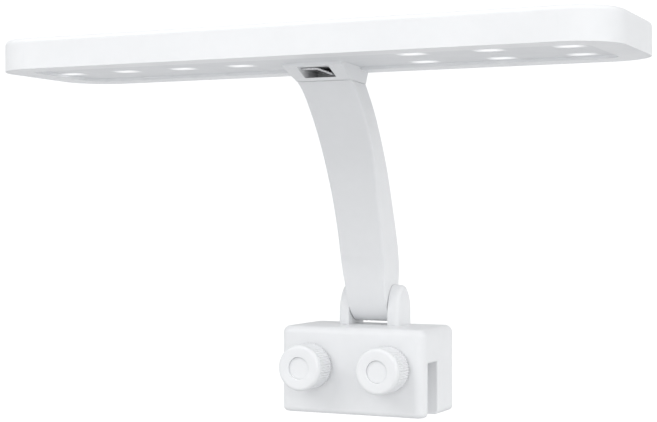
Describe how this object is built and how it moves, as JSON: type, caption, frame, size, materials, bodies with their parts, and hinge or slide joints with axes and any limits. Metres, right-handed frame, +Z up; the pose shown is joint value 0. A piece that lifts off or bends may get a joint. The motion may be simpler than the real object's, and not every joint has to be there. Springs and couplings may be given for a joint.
{
  "type": "clip-on aquarium light",
  "caption": "Thin rounded lamp panel with square light spots underneath, on a curved tilting arm with a two-screw clamp that hooks over a tank's glass edge.",
  "frame": {"origin": "middle of the slot's roof in the clamp, where the edge of the glass stops", "axes": "+X along the lamp panel, -Y the side the lamp overhangs into the tank, +Z up"},
  "size_m": [0.3, 0.1283, 0.1789],
  "materials": {
    "white_abs": "fine satin moulded white plastic",
    "frosted_plastic": "frosted light-spreading sheet",
    "led": "white LED package",
    "steel": "bright zinc plated",
    "brass": "machined",
    "nylon": "natural nylon",
    "aluminium": "mill finish",
    "rubber": "soft translucent grey",
    "circuit_board": "solder mask",
    "component": "moulded black",
    "black_plastic": "moulded black",
    "wire": "insulated lead"
  },
  "bodies": {
    "clamp": {"clamp_body": "white_abs", "clamp_rear_cover": "white_abs", "rear_cover_screws": "steel", "thread_inserts": "brass", "rear_jaw_pad": "rubber", "hinge_pin": "steel"},
    "arm_and_lamp": {"arm_shell": "white_abs", "arm_back_cover": "white_abs", "arm_cover_screws": "steel", "hinge_bushing": "nylon", "neck_screws": "steel", "arm_head": "white_abs", "lamp_tongue": "steel", "head_screws": "steel", "lamp_top_housing": "white_abs", "lamp_bezel": "white_abs", "diffuser": "frosted_plastic", "diffuser_gasket": "rubber", "led_board": "aluminium", "led_chips": "led", "heat_spreader": "aluminium", "board_screws": "steel", "driver_board": "circuit_board", "driver_components": "component", "dc_jack": "black_plastic", "lamp_wires": "wire"},
    "pad_left": {"pressure_pad_left": "steel", "pad_rubber_left": "rubber"},
    "screw_left": {"clamp_screw_left": "steel", "knob_left": "white_abs", "knob_cap_left": "white_abs"},
    "pad_right": {"pressure_pad_right": "steel", "pad_rubber_right": "rubber"},
    "screw_right": {"clamp_screw_right": "steel", "knob_right": "white_abs", "knob_cap_right": "white_abs"}
  },
  "joints": [
    {"name": "arm_tilt", "type": "hinge", "parent": "clamp", "child": "arm_and_lamp", "pos_m": [0, 0.01775, 0.0272], "axis": [-1, 0, 0], "range_deg": [-20, 90]},
    {"name": "pad_slide_left", "type": "slide", "parent": "clamp", "child": "pad_left", "axis": [0, 1, 0], "range_m": [-0.0068, 0.0005]},
    {"name": "knob_turn_left", "type": "hinge", "parent": "pad_left", "child": "screw_left", "pos_m": [-0.02025, -0.0205, -0.00255], "axis": [0, 1, 0], "range_deg": [-2448, 180]},
    {"name": "pad_slide_right", "type": "slide", "parent": "clamp", "child": "pad_right", "axis": [0, 1, 0], "range_m": [-0.0068, 0.0005]},
    {"name": "knob_turn_right", "type": "hinge", "parent": "pad_right", "child": "screw_right", "pos_m": [0.02025, -0.0205, -0.00255], "axis": [0, 1, 0], "range_deg": [-2448, 180]}
  ],
  "couplings": [
    {"joint": "knob_turn_left", "follows": "pad_slide_left", "rad_per_m": 6283.2},
    {"joint": "knob_turn_right", "follows": "pad_slide_right", "rad_per_m": 6283.2}
  ]
}
